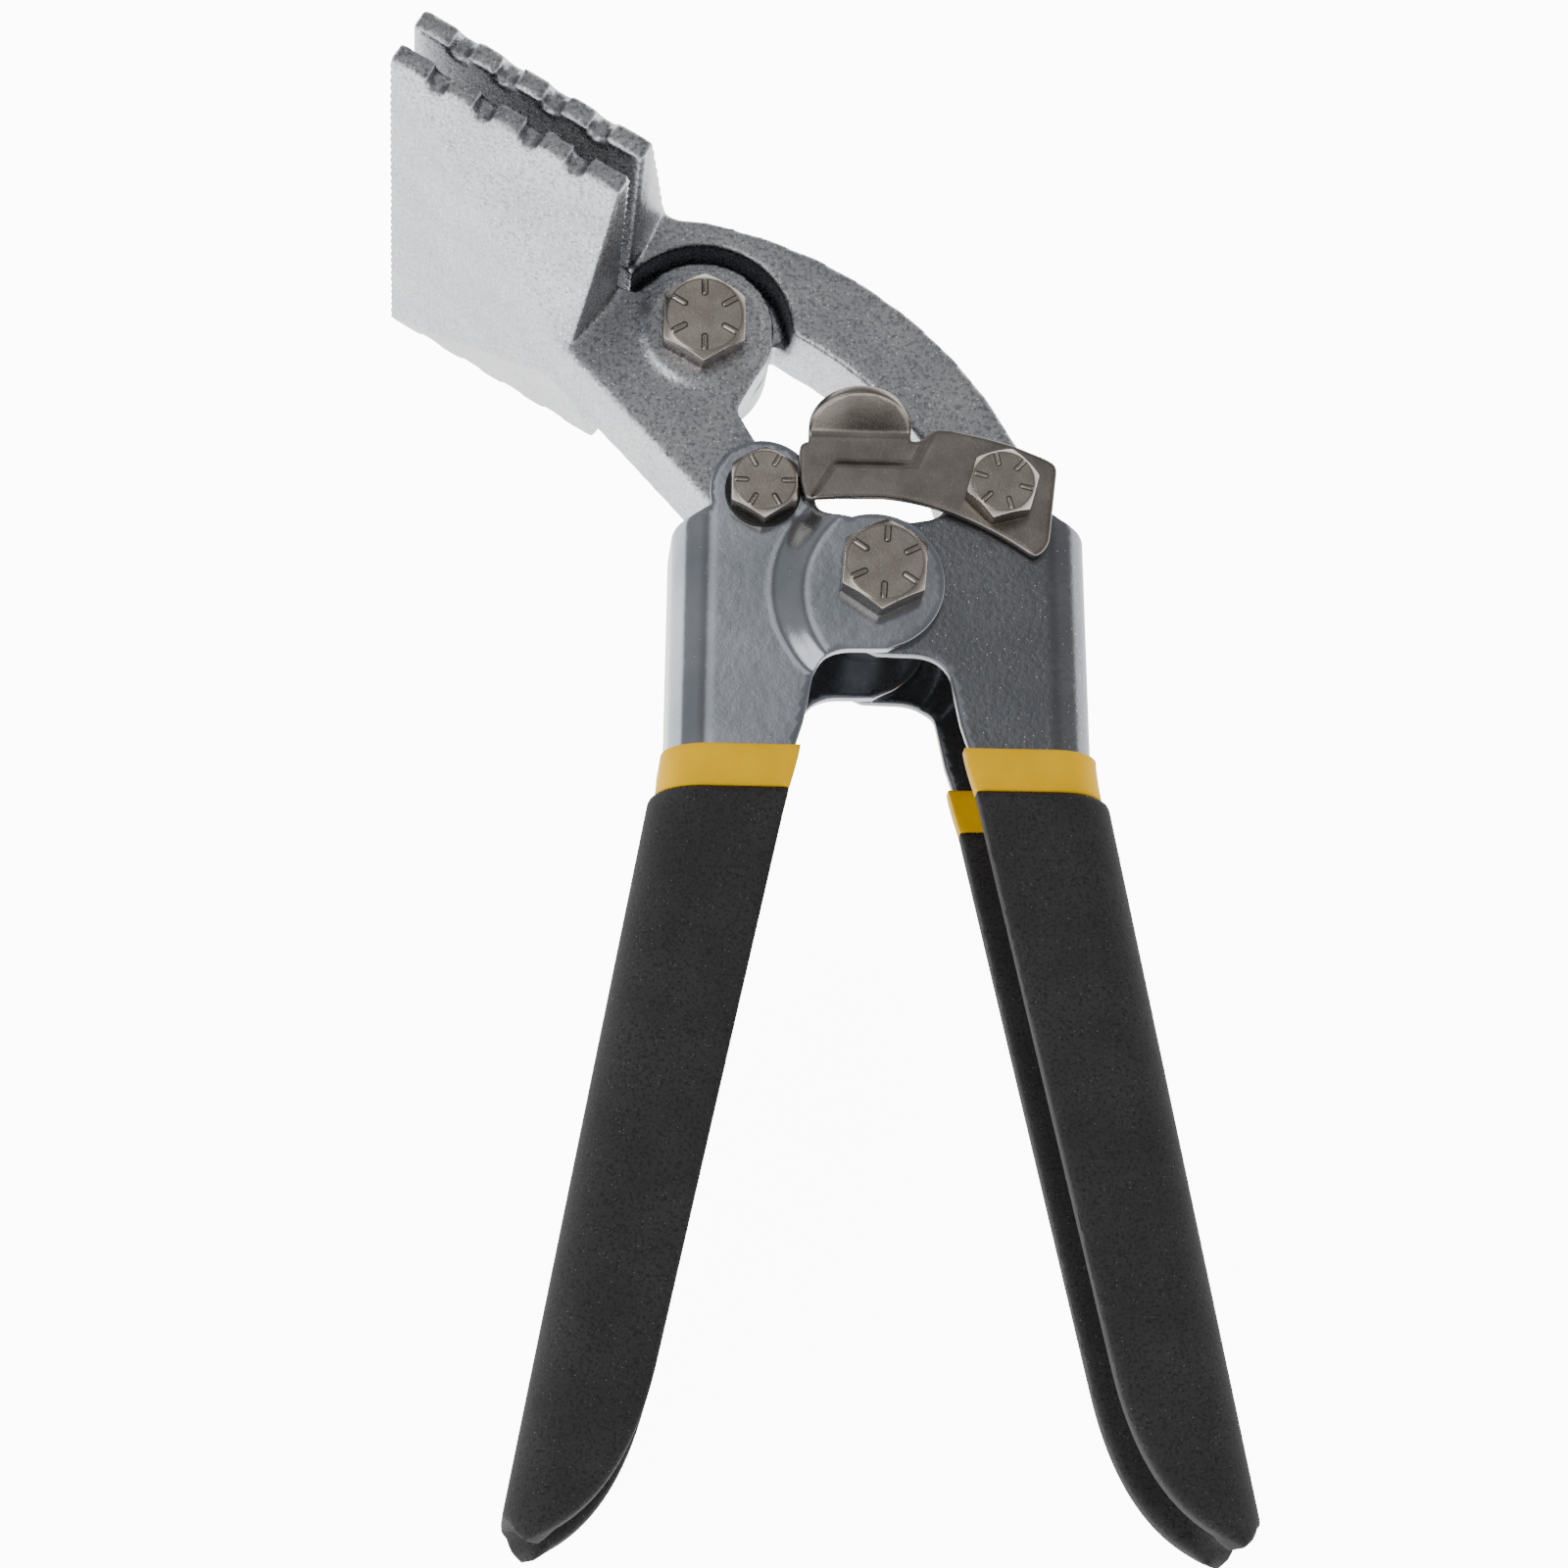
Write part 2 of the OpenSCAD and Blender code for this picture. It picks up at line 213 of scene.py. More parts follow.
def inward(loop: np.ndarray) -> np.ndarray:
    """Unit normals that point into an outline, one for each of its points.

    Args:
        loop: M by 2, in either direction.

    Returns:
        M by 2.
    """
    after, before = np.roll(loop, -1, axis=0), np.roll(loop, 1, axis=0)
    area = (loop[:, 0] * after[:, 1] - loop[:, 1] * after[:, 0]).sum()
    along = after - before
    across = np.column_stack([-along[:, 1], along[:, 0]]) * np.sign(area)
    return across / np.maximum(np.hypot(*across.T), 1e-9)[:, None]


def flat_blank(outline: np.ndarray, holes: list, step: float, rim: float) -> tuple:
    """Triangulate a flat blank with an even grid inside it.

    Close rings of points follow each edge, so that the edge can be rounded.

    Args:
        outline: M by 2, the blank's outer edge.
        holes: a list of such outlines.
        step: grid spacing.
        rim: the edges' rounding.

    Returns:
        (points N by 2, triangles K by 3, how far each point sinks by the rounding).
    """
    loops = [resample(outline, step), *[resample(h, step) for h in holes]]
    rings, sinks = [], [np.full(len(loop), rim) for loop in loops]
    for number, loop in enumerate(loops):
        for share in RIM_SHARES:
            ring = loop + inward(loop) * rim * share * (1 if number == 0 else -1)
            ring = ring[edge_distance(ring, loop) > rim * share * 0.7]
            rings.append(ring)
            sinks.append(np.full(len(ring), rim * (1 - math.sqrt(1 - (1 - share) ** 2))))
    low, high = outline.min(0), outline.max(0)
    xs = np.arange(low[0], high[0], step)
    ys = np.arange(low[1], high[1], step * 0.866)
    gx, gy = np.meshgrid(xs, ys)
    gx = gx + (np.arange(len(ys)) % 2)[:, None] * step / 2
    grid = np.column_stack([gx.ravel(), gy.ravel()])
    keep = inside(grid, loops[0])
    for hole in loops[1:]:
        keep &= ~inside(grid, hole)
    grid = grid[keep]
    for loop in loops:
        grid = grid[edge_distance(grid, loop) > rim + step * 0.45]
    edges, start = [], 0
    for loop in loops:
        edges += [(start + i, start + (i + 1) % len(loop)) for i in range(len(loop))]
        start += len(loop)
    points = np.concatenate([*loops, *rings, grid])
    sink = np.concatenate([*sinks, np.zeros(len(grid))])
    made = geometry.delaunay_2d_cdt([Vector(p) for p in points], edges, [], 0, 1e-5)
    verts = np.array([tuple(v) for v in made[0]])
    sink = np.array([sink[ids[0]] if ids else 0.0 for ids in made[3]])
    faces = np.array([tuple(f) for f in made[2]])
    middle = verts[faces].mean(axis=1)
    good = inside(middle, loops[0])
    for hole in loops[1:]:
        good &= ~inside(middle, hole)
    faces = faces[good]
    a, b, c = (verts[faces[:, i]] for i in range(3))
    turn = (b[:, 0] - a[:, 0]) * (c[:, 1] - a[:, 1]) - (b[:, 1] - a[:, 1]) * (c[:, 0] - a[:, 0])
    faces[turn < 0] = faces[turn < 0][:, ::-1]
    return verts, faces, sink


def make_piece(name: str, points: np.ndarray, faces: np.ndarray, tool: ToolFrame) -> bpy.types.Object:
    """A mesh object from tool-frame points.

    Args:
        name: the piece's name.
        points: N by 3, in millimetres.
        faces: triangles and quads, as rows of indices.
        tool: the tool's frame.

    Returns:
        The object, at the origin, shaded smooth.
    """
    mesh = bpy.data.meshes.new(name)
    mesh.from_pydata(tool.rows(points).tolist(), [], list(map(list, faces)))
    mesh.update()
    mesh.validate()
    mesh.shade_smooth()
    obj = bpy.data.objects.new(name, mesh)
    bpy.context.scene.collection.objects.link(obj)
    return obj


def thick_piece(name: str, outer: np.ndarray, inner: np.ndarray, faces: np.ndarray,
                tool: ToolFrame) -> bpy.types.Object:
    """A closed piece of sheet from its two faces.

    The edges that only one triangle uses are the sheet's free edges, and a
    band of quads joins the two faces along them.

    Args:
        name: the piece's name.
        outer: N by 3, the outer face's points.
        inner: N by 3, the matching points of the inner face.
        faces: K by 3 triangles of the outer face.
        tool: the tool's frame.

    Returns:
        The object.
    """
    used = np.unique(faces)
    number = np.full(len(outer), -1)
    number[used] = np.arange(len(used))
    faces, outer, inner = number[faces], outer[used], inner[used]
    edges = np.concatenate([faces[:, [0, 1]], faces[:, [1, 2]], faces[:, [2, 0]]])
    key = np.sort(edges, axis=1) @ np.array([len(used), 1])
    _, first, count = np.unique(key, return_index=True, return_counts=True)
    free = edges[first[count == 1]]
    n = len(used)
    a, b = free.T
    band = np.column_stack([b, a, a + n, b + n])
    mesh_faces = [*faces.tolist(), *(faces[:, ::-1] + n).tolist(), *band.tolist()]
    return make_piece(name, np.concatenate([outer, inner]), mesh_faces, tool)


def polar_faces(rings: int, count: int) -> np.ndarray:
    """Faces that join closed rings, with a fan at the first and last point.

    Args:
        rings: how many rings there are.
        count: points on each ring.

    Returns:
        K by 3 triangles over [first point, rings..., last point].
    """
    i = np.arange(rings - 1)[:, None]
    j = np.arange(count)[None]
    a = 1 + i * count + j
    b = 1 + i * count + (j + 1) % count
    quads = np.stack([a, a + count, b + count, b], -1).reshape(-1, 4)
    tris = np.concatenate([quads[:, [0, 1, 2]], quads[:, [0, 2, 3]]])
    ring = np.arange(count)
    last = 1 + rings * count
    top = np.column_stack([np.zeros(count, int), 1 + ring, 1 + (ring + 1) % count])
    end = 1 + (rings - 1) * count
    base = np.column_stack([np.full(count, last), end + (ring + 1) % count, end + ring])
    return np.concatenate([top, tris, base])


def add_modifier(obj: bpy.types.Object, kind: str, name: str, **settings) -> bpy.types.Modifier:
    """Add one modifier with its settings.

    Args:
        obj: the object.
        kind: Blender's modifier type.
        name: a plain name.
        **settings: attributes to set.

    Returns:
        The modifier.
    """
    made = obj.modifiers.new(name, kind)
    for key, value in settings.items():
        setattr(made, key, value)
    return made


def soften_rims(obj: bpy.types.Object, width: float, angle: float = 50.0, steps: int = 3) -> None:
    """Round a piece's hard edges and keep its flats flat.

    Args:
        obj: the object.
        width: the rounding, in millimetres.
        angle: edges sharper than this, in degrees, are rounded.
        steps: segments of the rounding.
    """
    add_modifier(
        obj, "BEVEL", "soft rims", width=width * MM, segments=steps, limit_method="ANGLE",
        angle_limit=math.radians(angle), use_clamp_overlap=True,
    )
    add_modifier(obj, "WEIGHTED_NORMAL", "flat flats", weight=50, keep_sharp=False)


# ---- materials -------------------------------------------------------------


def linear(colour: str) -> tuple:
    """An sRGB hex colour as linear RGBA.

    Args:
        colour: such as "#8a8b8e".

    Returns:
        Four floats.
    """
    parts = [int(colour[i : i + 2], 16) / 255 for i in (1, 3, 5)]
    out = [c / 12.92 if c <= 0.04045 else ((c + 0.055) / 1.055) ** 2.4 for c in parts]
    return (*out, 1.0)


def add_node(tree: bpy.types.NodeTree, kind: str, links: dict | None = None, **settings):
    """Add one shader node with its settings and links.

    Args:
        tree: the node tree.
        kind: Blender's node type, without "ShaderNode".
        links: input name or index to the output socket that feeds it.
        **settings: node attributes, or input values by name with _ for a space.

    Returns:
        The node.
    """
    made = tree.nodes.new("ShaderNode" + kind)
    for key, value in settings.items():
        if hasattr(made, key):
            setattr(made, key, value)
        else:
            made.inputs[key.replace("_", " ")].default_value = value
    for key, socket in (links or {}).items():
        tree.links.new(socket, made.inputs[key])
    return made


def ramp(tree: bpy.types.NodeTree, source, stops: list):
    """A colour ramp fed by one value.

    Args:
        tree: the node tree.
        source: the output socket that feeds it.
        stops: (position, grey level or RGBA) pairs.

    Returns:
        The ramp node.
    """
    made = add_node(tree, "ValToRGB", {0: source})
    points = made.color_ramp.elements
    while len(points) < len(stops):
        points.new(0.5)
    for point, (place, level) in zip(points, stops):
        point.position = place
        point.color = level if isinstance(level, tuple) else (level, level, level, 1.0)
    return made


@dataclass(frozen=True)
class Finish:
    """One procedural finish; pattern sizes are real millimetres.

    A coarse layer gives the slow cloudiness of plating, a grain layer gives
    the pebbled relief and its darker pits, and a fleck layer the tiny bright
    specks. Painted shade is laid where a piece's own attribute says, and a
    painted highlight along its rims.
    """

    name: str
    base: str
    dark: str
    metallic: float
    rough: float
    rough_spread: float
    cloud_mm: float
    grain_mm: float
    grain_depth_mm: float
    fleck_mm: float = 0.0
    fleck_colour: str = "#ffffff"
    fleck_share: float = 0.0
    coat: float = 0.0
    specular: float = 0.5
    pits: str = ""
    grime: str = ""
    rim_highlight: str = ""
    rim_highlight_mm: float = 0.5

    def build(self) -> bpy.types.Material:
        """Make the material.

        Returns:
            A material that reads only Object coordinates.
        """
        made = bpy.data.materials.new(self.name)
        made.use_nodes = True
        tree = made.node_tree
        shader = tree.nodes["Principled BSDF"]
        place = add_node(tree, "TexCoord").outputs["Object"]
        cloud = add_node(
            tree, "TexNoise", {"Vector": place}, Scale=1 / (self.cloud_mm * MM), Detail=3.0
        ).outputs[0]
        grain = add_node(
            tree, "TexNoise", {"Vector": place}, Scale=1 / (self.grain_mm * MM), Detail=4.0,
            Roughness=0.6,
        ).outputs[0]
        tint = ramp(tree, cloud, [(0.35, linear(self.dark)), (0.65, linear(self.base))]).outputs[0]
        if self.pits:
            deep = add_node(tree, "MapRange", {"Value": grain}, From_Min=0.52, From_Max=0.36).outputs[0]
            tint = add_node(tree, "MixRGB", {0: deep, 1: tint}, Color2=linear(self.pits)).outputs[0]
        # Painted shade: darken towards the given colour where the piece's attribute says, as in the
        # crease round the bolt heads' dashes.
        if self.grime:
            held = add_node(tree, "Attribute", attribute_name="grime").outputs["Fac"]
            tint = add_node(tree, "MixRGB", {0: held, 1: tint}, Color2=linear(self.grime)).outputs[0]
        # Painted highlight: a lighter colour along the rims, where the bevelled normal turns away from
        # the face's own.
        if self.rim_highlight:
            bevel_normal = add_node(tree, "Bevel", samples=6, Radius=self.rim_highlight_mm * MM).outputs[0]
            flat = add_node(tree, "NewGeometry").outputs["Normal"]
            turn = add_node(tree, "VectorMath", {0: bevel_normal, 1: flat}, operation="DOT_PRODUCT")
            rim = add_node(tree, "MapRange", {"Value": turn.outputs["Value"]}, From_Min=0.995,
                           From_Max=0.93).outputs[0]
            tint = add_node(tree, "MixRGB", {0: rim, 1: tint},
                            Color2=linear(self.rim_highlight)).outputs[0]
        rough = add_node(
            tree, "MapRange", {"Value": grain}, To_Min=self.rough - self.rough_spread,
            To_Max=self.rough + self.rough_spread,
        ).outputs[0]
        if self.fleck_share:
            cells = add_node(
                tree, "TexVoronoi", {"Vector": place}, Scale=1 / (self.fleck_mm * MM)
            )
            edge = self.fleck_share
            pick = add_node(tree, "MapRange", {"Value": cells.outputs["Distance"]},
                            From_Min=edge, From_Max=edge * 0.6).outputs[0]
            some = add_node(tree, "SeparateColor", {0: cells.outputs["Color"]}).outputs[0]
            rare = add_node(tree, "MapRange", {"Value": some}, From_Min=0.6, From_Max=0.75).outputs[0]
            fleck = add_node(tree, "Math", {0: pick, 1: rare}, operation="MULTIPLY").outputs[0]
            tint = add_node(tree, "MixRGB", {0: fleck, 1: tint},
                            Color2=linear(self.fleck_colour)).outputs[0]
        relief = add_node(
            tree, "Bump", {"Height": grain}, Strength=1.0, Distance=self.grain_depth_mm * MM
        ).outputs[0]
        tree.links.new(tint, shader.inputs["Base Color"])
        tree.links.new(rough, shader.inputs["Roughness"])
        tree.links.new(relief, shader.inputs["Normal"])
        shader.inputs["Metallic"].default_value = self.metallic
        shader.inputs["Coat Weight"].default_value = self.coat
        if self.metallic < 0.5:
            shader.inputs["Specular IOR Level"].default_value = self.specular
        return made


# Pebbled cast plating: reads as satin pearl silver with sparkling grain.
JAW_PLATE = Finish("satin_plated_cast_steel", "#c6c8cc", "#b6b8bd", 1.0, 0.29, 0.12, 9.0, 0.50,
                   0.105, 0.5, "#ffffff", 0.30, pits="#8f9196")
# Bright plated sheet, a little rippled by the press.
LEFT_PLATE = Finish("bright_plated_sheet", "#a5a9b0", "#959aa2", 0.92, 0.15, 0.05, 9.0, 1.6, 0.020,
                    0.6, "#eef2f6", 0.12)
# The same sheet with the orange-peel texture that a press leaves.
RIGHT_PLATE = Finish("orange_peel_plated_sheet", "#818388", "#73757a", 0.92, 0.21, 0.06, 10.0, 0.7,
                     0.035, 0.55, "#e8eaee", 0.16, pits="#74777c")
# Warm dark nickel of the bolts and nuts, with painted shade round the feet of the dashes on the bolt
# heads.
NICKEL = Finish("dark_nickel", "#aea69e", "#989088", 1.0, 0.26, 0.08, 3.0, 0.35, 0.010, 0.3,
                "#efe9e2", 0.16, grime="#3a3531")
# The latch is the same plating, darker, with a painted highlight along its rims.
LATCH_NICKEL = Finish("latch_dark_nickel", "#98918b", "#827c76", 1.0, 0.30, 0.08, 4.0, 0.35, 0.014,
                      0.3, "#efe9e2", 0.14, rim_highlight="#d8d2ca", rim_highlight_mm=0.25)
# Satin yellow plastic of the collars.
YELLOW = Finish("satin_yellow_plastic", "#e6b400", "#daa800", 0.0, 0.45, 0.05, 6.0, 0.5, 0.006,
                specular=0.05)
# Charcoal grip: matte, with a fine leathery grain and a few pale specks.
GRIP = Finish("matte_charcoal_rubber", "#363536", "#302f30", 0.0, 0.7, 0.06, 8.0, 0.38, 0.05,
              0.45, "#8a898b", 0.12, specular=0.1, pits="#252425")
# Turned steel of the sleeve and shims between the handle walls.
TURNED = Finish("turned_steel", "#8d8f92", "#7c7e82", 1.0, 0.36, 0.06, 3.0, 0.3, 0.006)
# Near-black washer: painted shade for the dark ring of shadow in the hole under the left link bolt's
# head.
HOLE_SHADE = Finish("black_washer", "#161616", "#101010", 0.0, 0.5, 0.05, 3.0, 0.3, 0.006)
# Undyed plastic of the locking rings.
NATURAL = Finish("natural_nylon", "#dcdcd2", "#cfcfc4", 0.0, 0.4, 0.05, 3.0, 0.3, 0.004)


class Paints:
    """Every finish as a material, each built once."""

    def __init__(self) -> None:
        """Start with none built."""
        self.made: dict = {}

    def wear(self, obj: bpy.types.Object, finish: Finish) -> None:
        """Give an object one finish.

        Args:
            obj: the object.
            finish: its finish.
        """
        if finish.name not in self.made:
            self.made[finish.name] = finish.build()
        obj.data.materials.clear()
        obj.data.materials.append(self.made[finish.name])


# ---- folded sheet pieces ---------------------------------------------------


@dataclass
class Fold:
    """The handle's folded channel, as a map from a flat blank.

    The blank runs u across the sheet, 0 at the web's middle, and y along the
    handle. The web is flat for |u| < half, turns through a right angle on the
    fold radius, and goes on as a flat wall.
    """

    grow: float = 0.0
    half: float = 5.0
    radius: float = 5.0
    bend_x: float = -25.75
    bend_y: float = -23.5
    head_slope: float = math.tan(math.radians(1.0))
    grip_slope: float = math.tan(math.radians(10.65))
    bend_soft: float = 1.0

    def back(self, y: np.ndarray) -> np.ndarray:
        """Outer line of the web: two slopes joined by a soft bend.

        Args:
            y: heights along the handle.

        Returns:
            x of the web's outer face.
        """
        d = (np.asarray(y, float) - self.bend_y) / self.bend_soft
        low = -self.bend_soft * np.logaddexp(0.0, -d)
        high = self.bend_soft * np.logaddexp(0.0, d)
        lean = np.where(d > 0, 1.0, 1.0 / math.cos(math.radians(10.65)))
        return self.bend_x + self.head_slope * high + self.grip_slope * low - self.grow * lean

    def unroll(self, side_view: np.ndarray) -> np.ndarray:
        """Side-view points of the front wall, as points of the blank.

        Args:
            side_view: N by 2, x and y.

        Returns:
            N by 2, u and y, with u at least the web's half width.
        """
        r = self.radius + self.grow
        dx = np.maximum(side_view[:, 0] - self.back(side_view[:, 1]), 0.0)
        on_bend = self.half + r * np.arccos(np.clip(1 - dx / r, -1, 1))
        on_wall = self.half + r * math.pi / 2 + dx - r
        return np.column_stack([np.where(dx < r, on_bend, on_wall), side_view[:, 1]])

    def roll(self, blank: np.ndarray, depth: np.ndarray | float = 0.0) -> np.ndarray:
        """Fold points of the blank into the channel.

        Args:
            blank: N by 2, u and y.
            depth: how far under the outer face, along its normal.

        Returns:
            N by 3, in the tool frame.
        """
        u, y = blank.T
        r = self.radius + self.grow
        a, sign = np.abs(u), np.sign(u)
        t = np.clip((a - self.half) / r, 0, math.pi / 2)
        wall = np.maximum(a - self.half - r * math.pi / 2, 0)
        x = self.back(y) + r * (1 - np.cos(t)) + wall + depth * np.cos(t)
        w = sign * (np.minimum(a, self.half) + (r - depth) * np.sin(t))
        return np.column_stack([x, y, w])

    def blank(self, side_view: np.ndarray) -> np.ndarray:
        """The whole blank's outline from one wall's side view.

        Args:
            side_view: the free edge from the web's top round to its bottom.

        Returns:
            The closed outline, the rear wall a mirror of the front.
        """
        front = self.unroll(side_view)
        rear = front[::-1] * np.array([-1.0, 1.0])
        return np.concatenate([front, rear])


def grip_line(inset: float) -> np.ndarray:
    """Inner edge of a handle below the collar, down to its rounded tip.

    Args:
        inset: how far inside the grip's own edge.

    Returns:
        Side-view points.
    """
    run = bow((-26.4, -95.5), (-30.2, -113.5), (-41.8, -116.9), 24)
    line = np.concatenate([[[-11.3, -27.0]], run])
    return line + inset * np.array([-1.2, 0.9])


@dataclass
class FoldedHandle:
    """One pressed-sheet handle: channel, ears, flat rear lug, raised front lug."""

    side: Side
    finish: Finish
    thick: float = 1.6
    ear: float = 6.5
    lug: float = 8.6
    lug_centre: tuple = (-1.0, -1.1)
    pin_hole: float = 2.56
    pivot_hole: float = 3.06
    open_pivot_gap: float = 0.44
    lug_lift: float = 1.8
    joggle_foot: tuple = (0.7, -1.85, 14.3)
    joggle_top: tuple = (3.8, -2.6, 13.1)
    rim: float = 0.26
    grid: float = 0.7
    fold: Fold = field(default_factory=Fold)

    @property
    def node(self) -> str:
        """The CAD node that this piece stands for."""
        return "left_handle" if self.side is Side.LEFT else "right_handle"

    def outline(self) -> np.ndarray:
        """Free edge of one wall in side view, from the web's top to its foot.

        Returns:
            Side-view points.
        """
        return np.concatenate([
            [[-25.15, 6.45], [-24.9, 6.75], [-23.9, 7.3], [-22.1, 8.1], [-20.75, 8.85]],
            arc(LEFT_PIN, self.ear, 186, -4, 34),
            bow((-8.0, 9.6), (-7.8, 7.7), (-5.2, 7.35), 8),
            arc(self.lug_centre, self.lug, 108, -70, 44),
            bow((0.6, -9.75), (0.0, -9.8), (-1.5, -9.82), 4),
            bow((-3.6, -9.85), (-7.9, -9.9), (-8.5, -13.6), 12),
            [[-9.5, -18.5], [-10.5, -21.6]],
            grip_line(1.4)[:17],
            [[-44.0, -110.6]],
        ])

    def lift(self, points: np.ndarray) -> np.ndarray:
        """How far the front wall is pressed outwards at the raised lug.

        The ramp runs between two circles that lie closer together at the top
        of the lug than at its side, and is eased at both ends.

        Args:
            points: N by 3, in the tool frame, on the flat wall.

        Returns:
            N lifts, in millimetres.
        """
        foot, top = (np.hypot(points[:, 0] - x, points[:, 1] - y) - r
                     for x, y, r in (self.joggle_foot, self.joggle_top))
        within, short = np.maximum(-foot, 0), np.maximum(top, 0)
        share = within / np.maximum(within + short, 1e-6)
        on_front_wall = points[:, 2] > WALL_OUT - 1.0
        return self.lug_lift * smooth(share) * on_front_wall

    def build(self, tool: ToolFrame) -> bpy.types.Object:
        """Blank, fold and press the sheet.

        Args:
            tool: the tool's frame.

        Returns:
            The object.
        """
        outline = self.fold.blank(self.outline())
        holes = []
        bore = self.pivot_hole + (self.open_pivot_gap if self.side is Side.RIGHT else 0.0)
        for sign in (1, -1):
            pin = self.fold.unroll(LEFT_PIN[None])[0] * np.array([sign, 1])
            pivot = self.fold.unroll(np.zeros((1, 2)))[0] * np.array([sign, 1])
            holes += [arc(pin, self.pin_hole, 0, 350, 36), arc(pivot, bore, 0, 350, 36)]
        flat, faces, sink = flat_blank(outline, holes, self.grid, self.rim)
        rise = self.lift(self.fold.roll(flat))[:, None] * np.array([0, 0, 1])
        turned = np.array([self.side.value, 1.0, self.side.value])
        outer = (self.fold.roll(flat, sink) + rise) * turned
        inner = (self.fold.roll(flat, self.thick - sink) + rise) * turned
        return thick_piece(self.node + "_sheet", outer, inner, faces, tool)

    def dress(self, obj: bpy.types.Object, paints: Paints) -> None:
        """Finish the sheet and let it ride on its body.

        Args:
            obj: the object.
            paints: the materials.
        """
        paints.wear(obj, self.finish)
        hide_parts(self.node)
        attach(obj, self.node)


@dataclass
class Sleeve:
    """A sleeve over the channel: the long grip, or the short collar above it."""

    side: Side
    kind: str
    finish: Finish
    slot: str
    outside: float
    inside: float
    rim: float
    grid: float
    thick_sheet: float = 1.6

    @property
    def node(self) -> str:
        """The CAD node that this piece stands for."""
        return f"{self.side.name.lower()}_{self.kind}"

    def outline(self) -> np.ndarray:
        """Free edge of one wall in side view.

        Returns:
            Side-view points.
        """
        if self.kind == "collar":
            return np.array([[-40.0, -21.55], [-20.0, -21.55], [-9.85, -21.55], [-11.25, -26.9],
                             [-20.0, -26.9], [-40.0, -26.9]])
        return np.concatenate([
            [[-40.0, -27.0], [-20.0, -27.0]],
            grip_line(0.0),
            [[-43.0, -115.9], [-43.6, -114.6], [-50.0, -113.9]],
        ])

    def build(self, tool: ToolFrame) -> bpy.types.Object:
        """Fold the sleeve round the channel.

        Args:
            tool: the tool's frame.

        Returns:
            The object.
        """
        fold = Fold(grow=self.outside)
        flat, faces, sink = flat_blank(fold.blank(self.outline()), [], self.grid, self.rim)
        turned = np.array([self.side.value, 1.0, self.side.value])
        depth = self.outside + self.thick_sheet + self.inside - sink
        return thick_piece(self.node + "_skin", fold.roll(flat, sink) * turned,
                           fold.roll(flat, depth) * turned, faces, tool)

    def dress(self, obj: bpy.types.Object, paints: Paints) -> None:
        """Finish the sleeve and let it ride on its handle.

        Args:
            obj: the object.
            paints: the materials.
        """
        paints.wear(obj, self.finish)
        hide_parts(self.node)
        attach(obj, f"{self.side.name.lower()}_handle")


# ---- jaws ------------------------------------------------------------------


@dataclass
class CastJaw:
    """One cast jaw: the CAD solid with its corners eased as a casting's are."""

    node: str
    voxel: float = 0.42
    ease_steps: int = 13

    def dress(self, frame: dict, paints: Paints) -> None:
        """Ease the corners and finish the casting.

        Args:
            paints: the materials.
        """
        obj = frame["nodes"][self.node]
        add_modifier(obj, "WELD", "close", merge_threshold=WELD_GAP * MM)
        add_modifier(obj, "REMESH", "cast skin", mode="VOXEL", voxel_size=self.voxel * MM,
                     use_smooth_shade=True)
        add_modifier(obj, "SMOOTH", "eased corners", factor=0.5, iterations=self.ease_steps)
        paints.wear(obj, JAW_PLATE)


# ---- bolts and nuts --------------------------------------------------------


